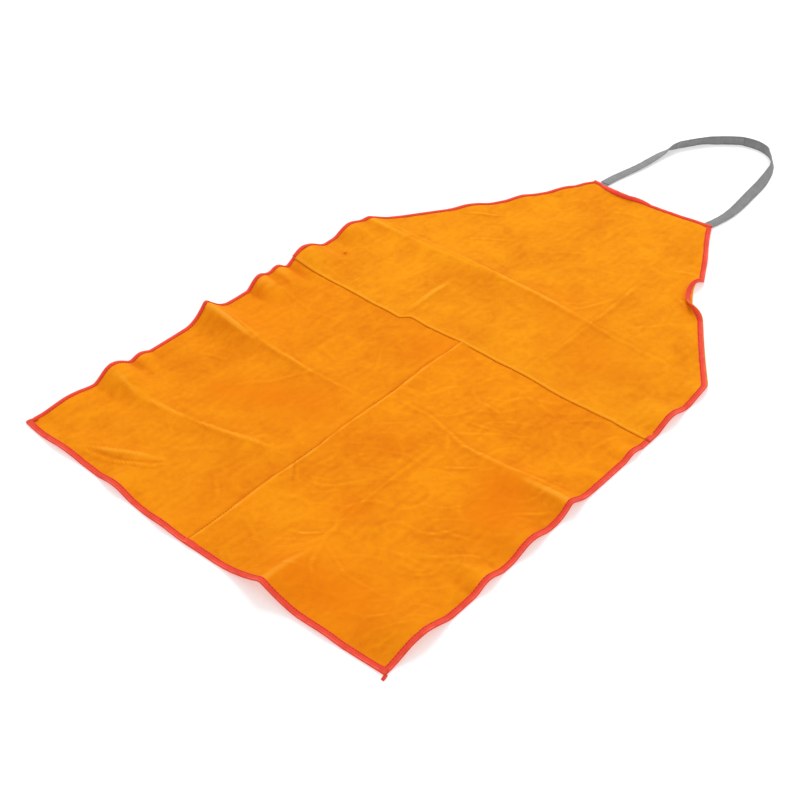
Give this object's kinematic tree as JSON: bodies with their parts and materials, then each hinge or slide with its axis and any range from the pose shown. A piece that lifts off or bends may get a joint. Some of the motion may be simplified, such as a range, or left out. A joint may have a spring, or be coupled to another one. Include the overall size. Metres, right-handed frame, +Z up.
{
  "type": "welding apron",
  "caption": "Leather bib apron for welding: bib sewn to a two-panel skirt, folded tape binding on every edge and a flat webbing neck loop, lying face up.",
  "frame": {"origin": "middle of the footprint, on the surface that the apron lies on", "axes": "+Y from the hem to the neck strap, +Z up out of the apron's face, +X to the right seen from above with the strap at the top"},
  "size_m": [0.6014, 1.1722, 0.0233],
  "materials": {
    "bib_leather": "matte suede",
    "skirt_leather": "matte suede",
    "binding_tape": "matte woven tape",
    "webbing": "matte woven webbing",
    "seam_thread": "matte thread",
    "binding_thread": "matte thread",
    "strap_thread": "matte thread"
  },
  "bodies": {
    "skirt": {"skirt_left_panel": "skirt_leather", "skirt_right_panel": "skirt_leather", "centre_seam_thread": "seam_thread", "waist_seam_thread": "seam_thread", "hem_binding": "binding_tape", "left_side_binding": "binding_tape", "right_side_binding": "binding_tape", "hem_binding_thread": "binding_thread", "left_side_binding_thread": "binding_thread", "right_side_binding_thread": "binding_thread", "binding_tail": "binding_tape"},
    "bib": {"bib_panel": "bib_leather", "left_armhole_binding": "binding_tape", "right_armhole_binding": "binding_tape", "bib_top_binding": "binding_tape", "left_armhole_binding_thread": "binding_thread", "right_armhole_binding_thread": "binding_thread", "bib_top_binding_thread": "binding_thread", "left_strap_tab": "webbing", "right_strap_tab": "webbing", "left_strap_bartack": "strap_thread", "right_strap_bartack": "strap_thread"},
    "neck_strap": {"neck_strap_left_length": "webbing", "neck_strap_right_length": "webbing", "lap_left_bartack": "strap_thread", "lap_right_bartack": "strap_thread"}
  },
  "joints": [
    {"name": "bib_fold", "type": "hinge", "parent": "skirt", "child": "bib", "pos_m": [0, -0.11049, 0.018], "axis": [1, 0, 0], "range_deg": [0, 165]},
    {"name": "neck_strap_swing", "type": "hinge", "parent": "bib", "child": "neck_strap", "pos_m": [0, 0.34471, -0.008], "axis": [1, 0, 0], "range_deg": [-170, 0]}
  ]
}
